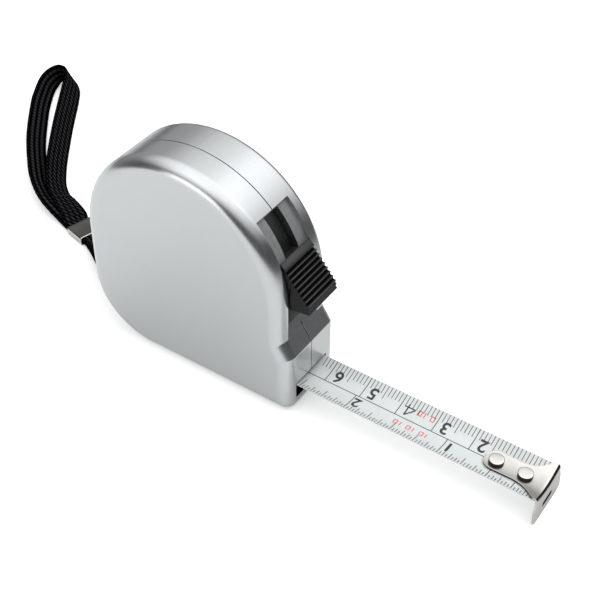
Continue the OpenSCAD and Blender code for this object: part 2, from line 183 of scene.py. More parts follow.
CEILING_EDGE = (0.38, 0.92)        # sine of the height where the ceiling starts, and where it is full
CEILING_LIGHT = 1.67
ROOM_WAY = (-0.507, 0.862, 0.0)    # the way the walls get lighter
ROOM_EDGE = (0.1, 0.9)             # cosines from that way where the change starts and ends
ROOM_LIGHT = (0.08, 0.44)          # in front of the object and behind it
ROOM_TINT = (0.985, 0.995, 1.0, 1)
GLOWS = (                          # direction, edge as cosines, light added
    ((-0.3, -0.66, 0.68), (0.85, 1.0), 0.45),
    ((0.45, 0.62, 0.64), (0.8, 0.99), 0.65),
)
SOFTBOX = ((0.22, 0.55, 0.65), (0.01, 0, 0.03), (0.7, 0.5), 1.6)    # place, aim, size in metres; watts
FRONT_CARD = ((-0.3, -0.85, 0.15), (0, 0, 0.03), (0.5, 0.4), 1.3)   # for the near face's round edge
SHEET_HALF = 12.0                  # metres
SHEET_MIDDLE = (-0.2, -0.45, 0.0)
SHEET_FADE = (0.5, 0.72)           # metres from that middle
SHEET_TONE = (0.88, 0.03)          # near that middle, and further off as reflections see it
SHEET_GLOW = 0.38                  # exposure of the sheet over the object's own


def look_from(target, azimuth, elevation, roll, distance):
    """Camera matrix: azimuth 0 looks along +Y, elevation is from the horizon, roll turns the picture."""
    a, e = math.radians(azimuth), math.radians(elevation)
    back = Vector((math.sin(a) * math.cos(e), -math.cos(a) * math.cos(e), math.sin(e)))
    level = (-back).to_track_quat("-Z", "Y").to_matrix().to_4x4()
    turn = level @ Matrix.Rotation(math.radians(roll), 4, "Z")
    return Matrix.Translation(Vector(target) + back * distance) @ turn


def add_camera():
    data = bpy.data.cameras.new("camera")
    data.sensor_width = SENSOR_WIDTH
    data.lens = LENS
    data.clip_start, data.clip_end = 0.01, 50.0
    cam = bpy.data.objects.new("camera", data)
    bpy.context.scene.collection.objects.link(cam)
    cam.matrix_world = look_from(CAMERA_AIM, *CAMERA_TURN, CAMERA_AWAY)
    bpy.context.scene.camera = cam


def add_area(name, place, aim, size, power):
    data = bpy.data.lights.new(name, "AREA")
    data.shape = "RECTANGLE"
    data.size, data.size_y = size
    data.energy = power
    lamp = bpy.data.objects.new(name, data)
    bpy.context.scene.collection.objects.link(lamp)
    turn = (Vector(aim) - Vector(place)).to_track_quat("-Z", "Y").to_matrix().to_4x4()
    lamp.matrix_world = Matrix.Translation(Vector(place)) @ turn
    return lamp


def add_glow(tree, way, strength, axis, edge, amount):
    """Adds a soft round patch of light to the world, about the direction axis."""
    near = tree.nodes.new("ShaderNodeVectorMath")
    near.operation = "DOT_PRODUCT"
    tree.links.new(way, near.inputs[0])
    near.inputs[1].default_value = Vector(axis).normalized()
    patch = tree.nodes.new("ShaderNodeMapRange")
    patch.interpolation_type = "SMOOTHSTEP"
    patch.inputs["From Min"].default_value, patch.inputs["From Max"].default_value = edge
    patch.inputs["To Max"].default_value = amount
    tree.links.new(near.outputs["Value"], patch.inputs["Value"])
    total = tree.nodes.new("ShaderNodeMath")
    total.operation = "ADD"
    tree.links.new(strength, total.inputs[0])
    tree.links.new(patch.outputs["Result"], total.inputs[1])
    return total.outputs["Value"]


def add_studio():
    """A dark room with a bright ceiling, two soft glows, a softbox high at the back, a card in front."""
    world = bpy.data.worlds.new("studio")
    bpy.context.scene.world = world
    world.use_nodes = True
    tree = world.node_tree
    background = tree.nodes["Background"]
    way = tree.nodes.new("ShaderNodeTexCoord")
    parts = tree.nodes.new("ShaderNodeSeparateXYZ")
    tree.links.new(way.outputs["Generated"], parts.inputs["Vector"])
    along = tree.nodes.new("ShaderNodeVectorMath")
    along.operation = "DOT_PRODUCT"
    tree.links.new(way.outputs["Generated"], along.inputs[0])
    along.inputs[1].default_value = ROOM_WAY
    ceiling = tree.nodes.new("ShaderNodeMapRange")
    ceiling.inputs["From Min"].default_value, ceiling.inputs["From Max"].default_value = CEILING_EDGE
    walls = tree.nodes.new("ShaderNodeMapRange")
    walls.inputs["From Min"].default_value, walls.inputs["From Max"].default_value = ROOM_EDGE
    walls.inputs["To Min"].default_value, walls.inputs["To Max"].default_value = ROOM_LIGHT
    tree.links.new(along.outputs["Value"], walls.inputs["Value"])
    tree.links.new(walls.outputs["Result"], ceiling.inputs["To Min"])
    ceiling.inputs["To Max"].default_value = CEILING_LIGHT
    tree.links.new(parts.outputs["Z"], ceiling.inputs["Value"])
    strength = ceiling.outputs["Result"]
    for axis, edge, amount in GLOWS:
        strength = add_glow(tree, way.outputs["Generated"], strength, axis, edge, amount)
    tree.links.new(strength, background.inputs["Strength"])
    background.inputs["Color"].default_value = ROOM_TINT
    softbox = add_area("softbox", *SOFTBOX)
    softbox.visible_glossy = False
    add_area("front_card", *FRONT_CARD)
    bpy.context.scene.view_settings.view_transform = "Standard"


def add_floor():
    """White sheet; in reflections it ends just behind the object, as the real table did."""
    mesh = bpy.data.meshes.new("floor")
    corners = [(x * SHEET_HALF, y * SHEET_HALF, 0) for x, y in ((-1, -1), (1, -1), (1, 1), (-1, 1))]
    mesh.from_pydata(corners, [], [(0, 1, 2, 3)])
    floor = bpy.data.objects.new("floor", mesh)
    bpy.context.scene.collection.objects.link(floor)
    sheet = Shader("floor", Roughness=0.7)
    away = sheet.tree.nodes.new("ShaderNodeVectorMath")
    away.operation = "DISTANCE"
    sheet.link(sheet.where, away.inputs[0])
    away.inputs[1].default_value = SHEET_MIDDLE
    fade = sheet.tree.nodes.new("ShaderNodeMapRange")
    fade.inputs["From Min"].default_value, fade.inputs["From Max"].default_value = SHEET_FADE
    sheet.link(away.outputs["Value"], fade.inputs["Value"])
    seen = sheet.tree.nodes.new("ShaderNodeLightPath")
    far = sheet.tree.nodes.new("ShaderNodeMath")
    far.operation = "MULTIPLY_ADD"
    far.use_clamp = True
    sheet.link(seen.outputs["Is Camera Ray"], far.inputs[0])
    far.inputs[1].default_value = -1.0
    sheet.link(fade.outputs["Result"], far.inputs[2])
    light, dark = [(tone, tone, tone) for tone in SHEET_TONE]
    sheet.colour(sheet.ramp(far.outputs["Value"], light, dark, 0.0, 1.0))
    sheet.bsdf.inputs["Emission Color"].default_value = (1, 1, 1, 1)
    glow = sheet.spread(seen.outputs["Is Camera Ray"], 0.0, SHEET_GLOW)
    sheet.link(glow, sheet.bsdf.inputs["Emission Strength"])
    mesh.materials.append(sheet.mat)


# ------------------------------------------------------------------ materials


class Shader:
    """A material with short calls for its nodes."""

    def __init__(self, name, **sockets):
        self.mat = bpy.data.materials.new(name)
        self.mat.use_nodes = True
        self.tree = self.mat.node_tree
        self.bsdf = self.tree.nodes["Principled BSDF"]
        for socket, value in sockets.items():
            self.bsdf.inputs[socket.replace("_", " ")].default_value = value
        self.where = self.tree.nodes.new("ShaderNodeTexCoord").outputs["Object"]

    def link(self, a, b):
        self.tree.links.new(a, b)

    def noise(self, scale, detail=2.0, stretch=None):
        node = self.tree.nodes.new("ShaderNodeTexNoise")
        node.inputs["Scale"].default_value = scale
        node.inputs["Detail"].default_value = detail
        source = self.where
        if stretch:
            mapping = self.tree.nodes.new("ShaderNodeMapping")
            mapping.inputs["Scale"].default_value = stretch
            self.link(source, mapping.inputs["Vector"])
            source = mapping.outputs["Vector"]
        self.link(source, node.inputs["Vector"])
        return node.outputs["Fac"]

    def ramp(self, factor, low, high, start=0.3, end=0.7):
        """Colour that goes from low to high as factor goes from start to end."""
        node = self.tree.nodes.new("ShaderNodeValToRGB")
        node.color_ramp.elements[0].position = start
        node.color_ramp.elements[1].position = end
        node.color_ramp.elements[0].color = (*low, 1)
        node.color_ramp.elements[1].color = (*high, 1)
        self.link(factor, node.inputs["Fac"])
        return node.outputs["Color"]

    def spread(self, factor, low, high):
        node = self.tree.nodes.new("ShaderNodeMapRange")
        node.inputs["To Min"].default_value = low
        node.inputs["To Max"].default_value = high
        self.link(factor, node.inputs["Value"])
        return node.outputs["Result"]

    def bump(self, height, depth_mm, after=None):
        node = self.tree.nodes.new("ShaderNodeBump")
        node.inputs["Distance"].default_value = depth_mm * MM
        self.link(height, node.inputs["Height"])
        if after is not None:
            self.link(after, node.inputs["Normal"])
        self.link(node.outputs["Normal"], self.bsdf.inputs["Normal"])
        return node.outputs["Normal"]

    def colour(self, output):
        self.link(output, self.bsdf.inputs["Base Color"])

    def rough(self, output):
        self.link(output, self.bsdf.inputs["Roughness"])


def silver_paint():
    """Satin metallic paint on ABS: fine flakes, a little mottle, faint orange peel."""
    s = Shader("silver_paint", Metallic=1.0)
    s.colour(s.ramp(s.noise(7000, 3), (0.52, 0.535, 0.54), (0.62, 0.635, 0.64)))
    s.rough(s.spread(s.noise(900, 3), 0.22, 0.28))
    s.bump(s.noise(2600, 2), 0.006)
    return s.mat


def recess_paint():
    """Silver paint darkened and dulled as painted shade down in the button's channel."""
    s = Shader("recess_paint", Metallic=0.15)
    s.colour(s.ramp(s.noise(900, 3), (0.2, 0.205, 0.21), (0.25, 0.255, 0.26)))
    s.rough(s.spread(s.noise(1500, 2), 0.5, 0.62))
    return s.mat


def black_plastic(name="black_plastic", tone=0.006, gloss=0.62):
    """Dark moulding with a fine spark-eroded grain and slightly shinier high spots."""
    s = Shader(name)
    s.bsdf.inputs["Specular IOR Level"].default_value = gloss
    s.colour(s.ramp(s.noise(1200, 3), (tone, tone, tone * 1.05), (tone * 1.6, tone * 1.6, tone * 1.7)))
    s.rough(s.spread(s.noise(1800, 2), 0.36, 0.52))
    s.bump(s.noise(3200, 3), 0.02)
    return s.mat


def nickel(name="nickel", tone=0.68):
    """Polished nickel plate: warm grey, drawn along the blade, faint handling marks."""
    s = Shader(name, Metallic=1.0)
    low, high = tone * 0.94, tone * 1.08
    s.colour(s.ramp(s.noise(300, 4), (low, low * 0.97, low * 0.91), (high, high * 0.97, high * 0.92)))
    s.rough(s.spread(s.noise(900, 3, (1, 6, 6)), 0.15, 0.27))
    s.bump(s.noise(1500, 2, (1, 5, 5)), 0.004)
    return s.mat


def dull_nickel():
    """Dark, dull nickel on the flat faces of the strap's clasp."""
    s = Shader("dull_nickel", Metallic=1.0)
    s.colour(s.ramp(s.noise(400, 3), (0.075, 0.075, 0.068), (0.1, 0.1, 0.092)))
    s.rough(s.spread(s.noise(1200, 3, (1, 5, 1)), 0.3, 0.42))
    s.bump(s.noise(1800, 2), 0.006)
    return s.mat


def enamel():
    """White baked enamel on steel: slightly cool, glossy, with a faint ripple."""
    s = Shader("enamel", Coat_Weight=0.25, Coat_Roughness=0.18)
    s.colour(s.ramp(s.noise(260, 3), (0.59, 0.62, 0.615), (0.64, 0.665, 0.66)))
    s.rough(s.spread(s.noise(700, 2), 0.28, 0.38))
    s.bump(s.noise(500, 2), 0.004)
    return s.mat


def ink(name, colour):
    s = Shader(name)
    lighter = tuple(min(1.0, c * 1.5 + 0.01) for c in colour)
    s.colour(s.ramp(s.noise(2500, 2), colour, lighter))
    s.rough(s.spread(s.noise(900, 2), 0.35, 0.5))
    return s.mat


def plain_moulding():
    s = Shader("plain_moulding")
    s.colour(s.ramp(s.noise(400, 3), (0.74, 0.74, 0.71), (0.82, 0.82, 0.79)))
    s.rough(s.spread(s.noise(900, 2), 0.4, 0.55))
    s.bump(s.noise(2200, 2), 0.01)
    return s.mat


def spring_steel():
    s = Shader("spring_steel", Metallic=1.0)
    s.colour(s.ramp(s.noise(200, 3), (0.13, 0.14, 0.17), (0.24, 0.24, 0.26)))
    s.rough(s.spread(s.noise(1200, 3, (1, 6, 1)), 0.28, 0.42))
    s.bump(s.noise(2500, 2, (1, 8, 1)), 0.004)
    return s.mat


def soft_rubber():
    s = Shader("soft_rubber")
    s.colour(s.ramp(s.noise(900, 3), (0.02, 0.02, 0.02), (0.045, 0.045, 0.045)))
    s.rough(s.spread(s.noise(700, 2), 0.7, 0.85))
    s.bump(s.noise(2500, 2), 0.02)
    return s.mat


def knit():
    """Black polyester knit: matt yarn, lighter on the crowns of its stitches and near-black down between
    them as painted shade, broken up by noise.
    """
    s = Shader("knit")
    s.bsdf.inputs["Specular IOR Level"].default_value = 0.0
    crown = s.tree.nodes.new("ShaderNodeAttribute")
    crown.attribute_name = "crown"
    mixed = s.tree.nodes.new("ShaderNodeMath")
    mixed.operation = "MULTIPLY"
    s.link(crown.outputs["Fac"], mixed.inputs[0])
    s.link(s.spread(s.noise(2600, 3), 0.5, 1.3), mixed.inputs[1])
    # painted shade: the yarn's height picks the colour, so the grooves between stitches go near-black
    s.colour(s.ramp(mixed.outputs["Value"], (0.0006, 0.0006, 0.0008), (0.037, 0.037, 0.04), 0.35, 1.0))
    s.rough(s.spread(s.noise(1500, 2), 0.75, 0.95))
    s.bump(s.noise(4200, 3), 0.08)
    return s.mat


# ------------------------------------------------------------------ mesh helpers


def make_piece(name, points, faces, mat, smooth_angle=35.0):
    """A mesh piece from points in millimetres."""
    mesh = bpy.data.meshes.new(name)
    mesh.from_pydata([tuple(c * MM for c in p) for p in points], [], faces)
    mesh.validate()
    piece = bpy.data.objects.new(name, mesh)
    bpy.context.scene.collection.objects.link(piece)
    if mat is not None:
        mesh.materials.append(mat)
    tidy_normals(piece, smooth_angle)
    return piece


def tidy_normals(piece, smooth_angle):
    """Outward faces, smooth but for edges sharper than the angle."""
    b = bmesh.new()
    b.from_mesh(piece.data)
    bmesh.ops.remove_doubles(b, verts=b.verts, dist=1e-7)
    bmesh.ops.recalc_face_normals(b, faces=b.faces)
    for face in b.faces:
        face.smooth = True
    limit = math.radians(smooth_angle)
    for edge in b.edges:
        edge.smooth = len(edge.link_faces) == 2 and edge.calc_face_angle(0.0) < limit
    b.to_mesh(piece.data)
    b.free()


def loft(name, loops, mat, smooth_angle=35.0, ring=False):
    """Skin over loops with the same number of points each: closed at its ends, or joined up as a ring."""
    count = len(loops[0])
    points = [p for loop in loops for p in loop]
    faces = []
    for i in range(len(loops) if ring else len(loops) - 1):
        here, there = i * count, (i + 1) % len(loops) * count
        for k in range(count):
            n = (k + 1) % count
            faces.append((here + k, here + n, there + n, there + k))
    if not ring:
        faces.append(tuple(range(count - 1, -1, -1)))
        faces.append(tuple(range((len(loops) - 1) * count, len(loops) * count)))
    return make_piece(name, points, faces, mat, smooth_angle)


def prism(name, outline, y0, y1, mat=None):
    """A drawing in the X-Z plane, made solid from y0 to y1."""
    return loft(name, [[(x, y, z) for x, z in outline] for y in (y0, y1)], mat)


def lathe(name, profile, centre, axis, mat, steps=40):
    """Turned piece: profile is (radius, height) along axis from centre."""
    turn = Vector((0, 0, 1)).rotation_difference(Vector(axis))
    angles = np.linspace(0, math.tau, steps, endpoint=False)
    loops = []
    for r, h in profile:
        ring = [Vector((r * math.cos(a), r * math.sin(a), h)) for a in angles]
        loops.append([tuple(turn @ p + Vector(centre)) for p in ring])
    return loft(name, loops, mat)


def apply_modifiers(piece):
    """Replaces the piece's mesh by what its modifiers make of it."""
    graph = bpy.context.evaluated_depsgraph_get()
    made = bpy.data.meshes.new_from_object(piece.evaluated_get(graph))
    old = piece.data
    piece.modifiers.clear()
    piece.data = made
    bpy.data.meshes.remove(old)


def cut(piece, *tools, operation="DIFFERENCE"):
    for tool in tools:
        mod = piece.modifiers.new("cut", "BOOLEAN")
        mod.operation = operation
        mod.solver = "EXACT"
        mod.object = tool
    apply_modifiers(piece)
    for tool in tools:
        bpy.data.objects.remove(tool)


def ease_edges(piece, width_mm, segments=2, angle=40.0, seam=0.0):
    """Small round on the piece's sharp edges, but for those within seam mm of the middle plane."""
    b = bmesh.new()
    b.from_mesh(piece.data)
    weight = b.edges.layers.float.new("bevel_weight_edge")
    for edge in b.edges:
        sharp = len(edge.link_faces) == 2 and edge.calc_face_angle(0.0) > math.radians(angle)
        near_seam = max(abs(v.co.y) for v in edge.verts) < seam * MM
        edge[weight] = 1.0 if sharp and not near_seam else 0.0
    b.to_mesh(piece.data)
    b.free()
    mod = piece.modifiers.new("ease", "BEVEL")
    mod.width = width_mm * MM
    mod.segments = segments
    mod.limit_method = "WEIGHT"
    mod.use_clamp_overlap = True
    mod.harden_normals = False
    apply_modifiers(piece)


def weight_normals(piece):
    mod = piece.modifiers.new("weighted", "WEIGHTED_NORMAL")
    mod.keep_sharp = True
    mod.weight = 80
    apply_modifiers(piece)


def join(pieces, name):
    """One mesh from several, keeping their materials."""
    b = bmesh.new()
    mats = []
    for piece in pieces:
        start = len(b.faces)
        b.from_mesh(piece.data)
        b.faces.ensure_lookup_table()
        own = list(piece.data.materials)
        mats += [mat for mat in own if mat not in mats]
        for face in b.faces[start:]:
            face.material_index = mats.index(own[face.material_index])
    mesh = bpy.data.meshes.new(name)
    b.to_mesh(mesh)
    b.free()
    for mat in mats:
        mesh.materials.append(mat)
    for piece in pieces:
        bpy.data.objects.remove(piece)
    made = bpy.data.objects.new(name, mesh)
    bpy.context.scene.collection.objects.link(made)
    return made


# ------------------------------------------------------------------ outlines

CASE_CORNERS = [           # x, z, radius, steps: the D-shaped body with its nose, anticlockwise
    (-CASE_R, 0.0, HEEL_R, 20),
    (NOSE_X, 0.0, 2.6, 8),
    (NOSE_X, NOSE_Z, 0.7, 5),
    (CASE_R, SHOULDER_Z, 0.9, 5),
    (CASE_R, TOP_Z, CASE_R - 0.01, 44),
    (-CASE_R, TOP_Z, CASE_R - 0.01, 44),
]


def rounded_outline(corners, inset):
    """Points of a polygon with rounded corners, drawn in by inset."""
    count = len(corners)
    spots = [Vector((c[0], c[1])) for c in corners]
    points = []
    for i, (_, _, radius, steps) in enumerate(corners):
        before, here, after = spots[i - 1], spots[i], spots[(i + 1) % count]
        d0, d1 = (here - before).normalized(), (after - here).normalized()
        n0, n1 = Vector((-d0.y, d0.x)), Vector((-d1.y, d1.x))
        turn = math.atan2(d0.x * d1.y - d0.y * d1.x, d0.dot(d1))
        r = max(radius - inset, 0.03) if turn > 0 else radius + inset
        half = abs(turn) / 2
        corner = here + (n0 + n1).normalized() * inset / math.cos(half)
        side = 1 if turn > 0 else -1
        centre = corner + (n0 + n1).normalized() * side * r / math.cos(half)
        start = -n0 * side
        for k in range(steps + 1):
            a = turn * k / steps
            cosine, sine = math.cos(a), math.sin(a)
            v = Vector((start.x * cosine - start.y * sine, start.x * sine + start.y * cosine))
            points.append(tuple(centre + v * r))
    return points


def rounded_box(half_width, low, high, radius, steps, inset=0.0):
    """Rounded rectangle about x = 0."""
    corners = [(-half_width, low), (half_width, low), (half_width, high), (-half_width, high)]
    return rounded_outline([(x, y, radius, steps) for x, y in corners], inset)


def arc(radius, low, high, steps):
    """Points about the reel's axis, angles in degrees up from +X."""
    return [(radius * math.cos(a), REEL_Z + radius * math.sin(a))
            for a in np.radians(np.linspace(low, high, steps + 1))]


def sector(r0, r1, low, high, steps=48):
    return arc(r1, low, high, steps) + arc(r0, high, low, steps)


# ------------------------------------------------------------------ case


def case_half(name, side, paint, inner_shade, recess_shade):
    """One hollow half, side -1 the -Y one and 1 the +Y one, with half of the groove along their joint."""
    def loop(y, inset):
        return [(x, side * y, z) for x, z in rounded_outline(CASE_CORNERS, inset)]

    inset, depth = EDGE_ROUND[side]
    loops = [loop(HALF_W - WALL, WALL + 1.0), loop(HALF_W - WALL - 1.0, WALL), loop(0.0, WALL)]
    loops += [loop(0.0, SEAM_DEPTH), loop(SEAM, SEAM_DEPTH), loop(SEAM, 0.06)]
    inner_points = len(loops) * len(loops[0])
    loops.append(loop(SEAM + 0.05, 0.0))
    for a in np.radians(np.linspace(0, 90, 12)):
        loops.append(loop(HALF_W - depth * (1 - math.sin(a)), inset * (1 - math.cos(a))))
    half = loft(name, loops, paint)
    half.data.materials.append(inner_shade)
    # painted shade: the inside of the shell and the seam's groove get the near-black plastic
    for face in half.data.polygons:
        if max(face.vertices) < inner_points:
            face.material_index = 1
    guide = sector(GUIDE_R, FLOOR_R + 0.4, GUIDE_LOW, CHANNEL_TOP + 4)
    cut(half, prism("guide", guide, 0.0, side * GUIDE_HW), operation="UNION")
    slot = sector(GUIDE_R - 1, FLOOR_R + 1, SLOT_LOW, CHANNEL_TOP - 0.7)
    back, front = NOSE_X - 5, NOSE_X + 3
    mouth = [(back, MOUTH_Z[0]), (front, MOUTH_Z[0]), (front, MOUTH_Z[1]), (back, MOUTH_Z[1])]
    tools = [prism("channel", channel_outline(), -CHANNEL_HW, CHANNEL_HW),
             prism("slot", slot, -SLOT_HW, SLOT_HW),
             prism("mouth", mouth, -MOUTH_HW, MOUTH_HW),
             strap_opening()]
    if side > 0:
        seat = [(SCREW_SEAT_R, 0), (SCREW_SEAT_R, 5)]
        tools += [lathe("seat", seat, (x, HALF_W - 1, z), (0, 1, 0), None, 28) for x, z in SCREWS]
    cut(half, *tools)
    half.data.materials.append(recess_shade)
    # painted shade: the mouth's cut faces get the near-black plastic, the channel's ledges and walls the
    # darkened silver
    for face in half.data.polygons:
        if in_mouth(face.center / MM) and abs(face.normal.x) < 0.3:
            face.material_index = 1
        elif in_channel(face.center / MM):
            face.material_index = 2
    tidy_normals(half, 35.0)
    ease_edges(half, 0.18, 2, 42.0, seam=0.3)
    tidy_normals(half, 50.0)
    weight_normals(half)
    return half


def channel_outline():
    """What the button's channel takes away: in over the nose's slope, up along its floor, out again."""
    crease = Vector((CASE_R, SHOULDER_Z))
    climb = (crease - Vector((NOSE_X, NOSE_Z))).normalized()
    start = crease - climb * 0.3 + Vector((climb.y, -climb.x)) * 0.01
    floor = arc(FLOOR_R, CHANNEL_LOW, CHANNEL_TOP, 40)
    return [(CASE_R + 9, start.y), tuple(start)] + floor + arc(CASE_R + 8, CHANNEL_TOP, 20, 6)


def in_mouth(p):
    """True on the cut faces of the blade's mouth."""
    level = MOUTH_Z[0] - 0.05 < p.z < MOUTH_Z[1] + 0.05
    return level and p.x < NOSE_X - 0.01 and abs(p.y) < MOUTH_HW + 0.02


def in_channel(p):
    """True on the ledges and side walls of the button's channel."""
    out = math.hypot(p.x, p.z - REEL_Z)
    level = math.degrees(math.atan2(p.z - REEL_Z, p.x))
    within = GUIDE_R < out < CASE_R - 0.15 and CHANNEL_LOW < level < CHANNEL_TOP - 0.1
    return within and abs(p.y) < CHANNEL_HW + 0.02


def strap_opening():
    """Slot low on the back that the strap comes out of."""
    heel = Vector((HEEL_R - CASE_R, 0, HEEL_R))
    turn = Matrix.Rotation(math.radians(OPENING_TURN), 3, "Y")
    outline = rounded_box(OPENING[0], -OPENING[1], OPENING[1], 1.0, 5)
    loops = []
    for out in (HEEL_R - 6, HEEL_R + 2):
        loops.append([tuple(heel + turn @ Vector((out, y, up))) for y, up in outline])
    return loft("opening", loops, None)


# ------------------------------------------------------------------ lock


def ribbed(start, end, count, depth):
    """Points from start to end over narrow ridges with wide hollows between, one ridge at each end."""
    run = (end - start) / count
    out = Vector((-run.y, run.x)).normalized()
    if out.x < 0:
        out = -out
    points = []
    for k in range(count * RIB_STEPS + 1):
        wave = abs(math.cos(math.pi * k / RIB_STEPS)) ** RIB_POWER
        p = start + run * (k / RIB_STEPS) - out * depth * (1 - wave)
        points.append((p.x, p.y))
    return points


def grip_outline():
    """Side view of the thumb grip: smooth crown, ridges down its slope and on its lip, an undercut."""
    lip, foot = Vector((BUTTON_HIGH.x - 0.35, LIP_Z)), Vector((BUTTON_HIGH.x - 0.02, FOOT_Z))
    points = GRIP_CROWN + ribbed(Vector(GRIP_TOP), lip, *GRIP_RIBS) + ribbed(lip, foot, *LIP_RIBS)[1:]
    points += [(foot.x - 0.15, foot.y - 0.3), (foot.x - 0.7, foot.y - 0.45), (29.1, foot.y - 1.3)]
    low = math.degrees(math.asin((foot.y - 1.3 - REEL_Z) / (CASE_R - 0.1)))
    return points + arc(CASE_R - 0.1, low, 23.0, 12)


def hollow_points():
    """Numbers of the outline's points that lie down in the hollows between the ridges of the slope."""
    deep = range(2, RIB_STEPS - 2)
    return {len(GRIP_CROWN) + k for k in range(GRIP_RIBS[0] * RIB_STEPS) if k % RIB_STEPS in deep}


def thumb_button(mat, dull_shade, shade):
    """Grip, guide plate and neck in one; the grip's ends and the plate carry a duller black as painted
    shade, its hollows a near-black as painted shade.
    """
    half = (BUTTON_HIGH.y - BUTTON_LOW.y) / 2
    outline = grip_outline()
    grip = prism("grip", outline, -half + 0.1, half - 0.1, mat)
    grip.data.materials.append(dull_shade)
    grip.data.materials.append(shade)
    hollows = hollow_points()
    # painted shade: the grip's sides get the duller black and the faces down in its hollows the near-black
    for face in grip.data.polygons:
        if len(face.vertices) > 4:
            face.material_index = 1
        elif min(v % len(outline) for v in face.vertices) in hollows:
            face.material_index = 2
    # painted shade: the plate under the grip in the duller black
    plate = prism("plate", sector(FLOOR_R + 0.12, CASE_R - 0.06, -14.2, 22.1, 30), -half, half, dull_shade)
    neck_half = SLOT_HW - 0.2
    neck = prism("neck", sector(GUIDE_R - 0.2, CASE_R - 0.1, 0.3, 22.6, 24), -neck_half, neck_half, mat)
    for part, width in ((grip, 0.14), (plate, 0.12), (neck, 0.1)):
        ease_edges(part, width, 2, 50.0)
        tidy_normals(part, 40.0)
    return join([grip, plate, neck], "thumb_button")


# ------------------------------------------------------------------ blade


def cup_height(y, above=0.0):
    """Height of the blade's upper face at y, plus a distance above it."""
    r = CUP_R - BLADE_T - above
    return BLADE_Z + CUP_R - math.sqrt(r * r - y * y)


def mouth_wiper(mat):
    """Near-black strip inside the mouth's upper edge as painted shade of the mouth's inside, high enough
    for the rivets to pass under it.
    """
    half_w, half_h = MOUTH_SHADE_HALF
    low, high = MOUTH_Z[1] - half_h, MOUTH_Z[1] + half_h
    back, front = MOUTH_SHADE_X
    outline = [(back, low), (front, low), (front, high), (back, high)]
    return prism("mouth_wiper", outline, -half_w, half_w, mat)


def blade(mat):
    """Cupped strip from inside the case to the hook, with rings close enough to bend along."""
    xs = np.concatenate([np.linspace(-12, NOSE_X + 14, 60), np.linspace(NOSE_X + 16, HOOK_X - 0.1, 30)])
    across = np.linspace(-BLADE_W / 2, BLADE_W / 2, 17)
    loops = []
    for x in xs:
        upper = [(x, y, cup_height(y)) for y in across]
        lower = [(x, y, cup_height(y) - BLADE_T) for y in across[::-1]]
        loops.append(upper + lower)
    return loft("blade", loops, mat)


class Print:
    """Flat marks laid on the blade's upper face."""

    LIFT = 0.02
    WEIGHT = 0.028         # how far the outlines of digits are grown, as a part of their height

    def __init__(self):
        self.points, self.faces = [], []

    def bar(self, x, half, y0, y1):
        """A line across the blade from y0 to y1, in short lengths that follow the cup."""
        steps = max(1, math.ceil(abs(y1 - y0) / 1.1))
        start = len(self.points)
        for y in np.linspace(y0, y1, steps + 1):
            z = cup_height(y, self.LIFT)
            self.points += [(x - half, y, z), (x + half, y, z)]
        for k in range(steps):
            a = start + 2 * k
            self.faces.append((a, a + 1, a + 3, a + 2) if y1 > y0 else (a, a + 2, a + 3, a + 1))

    def line(self, x0, x1, y, half):
        """A line along the blade from x0 to x1."""
        steps = max(1, math.ceil((x1 - x0) / 1.5))
        start = len(self.points)
        for x in np.linspace(x0, x1, steps + 1):
            z = cup_height(y, self.LIFT)
            self.points += [(x, y - half, z), (x, y + half, z)]
        for k in range(steps):
            a = start + 2 * k
            self.faces.append((a, a + 2, a + 3, a + 1))

    def digit(self, text, x, y, height):
        """A number that reads from the +Y side, centred on (x, y)."""
        curve = bpy.data.curves.new("digit", "FONT")
        curve.body = text
        curve.align_x, curve.align_y = "CENTER", "CENTER"
        curve.size = height * 1.42
        curve.offset = self.WEIGHT * height
        curve.resolution_u = 4
        holder = bpy.data.objects.new("digit", curve)
        bpy.context.scene.collection.objects.link(holder)
        graph = bpy.context.evaluated_depsgraph_get()
        mesh = bpy.data.meshes.new_from_object(holder.evaluated_get(graph))
        start = len(self.points)
        for v in mesh.vertices:
            px, py = x - v.co.x, y - v.co.y
            self.points.append((px, py, cup_height(py, self.LIFT)))
        for p in mesh.polygons:
            self.faces.append(tuple(start + i for i in p.vertices))
        bpy.data.objects.remove(holder)
        bpy.data.meshes.remove(mesh)

    def stroke(self, p, q, half):
        """A straight line between two (x, y) points, bent over the blade's cup."""
        p, q = Vector(p), Vector(q)
        side = Vector((p.y - q.y, q.x - p.x)).normalized() * half
        start, steps = len(self.points), max(2, math.ceil((q - p).length / 0.4))
        for k in range(steps + 1):
            middle = p.lerp(q, k / steps)
            for edge in (middle - side, middle + side):
                self.points.append((edge.x, edge.y, cup_height(edge.y, self.LIFT)))
        for k in range(steps):
            a = start + 2 * k
            self.faces.append((a, a + 2, a + 3, a + 1))

    def four(self, x, y, height):
        """A 4 drawn with strokes, because the font's own comes out with its eye filled in."""
        def at(across, up):
            return x - (across - 0.45) * height, y - (up - 0.5) * height

        self.stroke(at(0.62, 1.0), at(0.62, 0.0), 0.055 * height)
        self.stroke(at(0.9, 0.26), at(0.0, 0.26), 0.05 * height)
        self.stroke(at(0.03, 0.3), at(0.6, 0.97), 0.055 * height)

    def piece(self, name, mat):
        made = make_piece(name, self.points, self.faces, mat, 80.0)
        b = bmesh.new()
        b.from_mesh(made.data)
        for face in b.faces:
            if face.normal.z < 0:
                face.normal_flip()
        b.to_mesh(made.data)
        b.free()
        return made


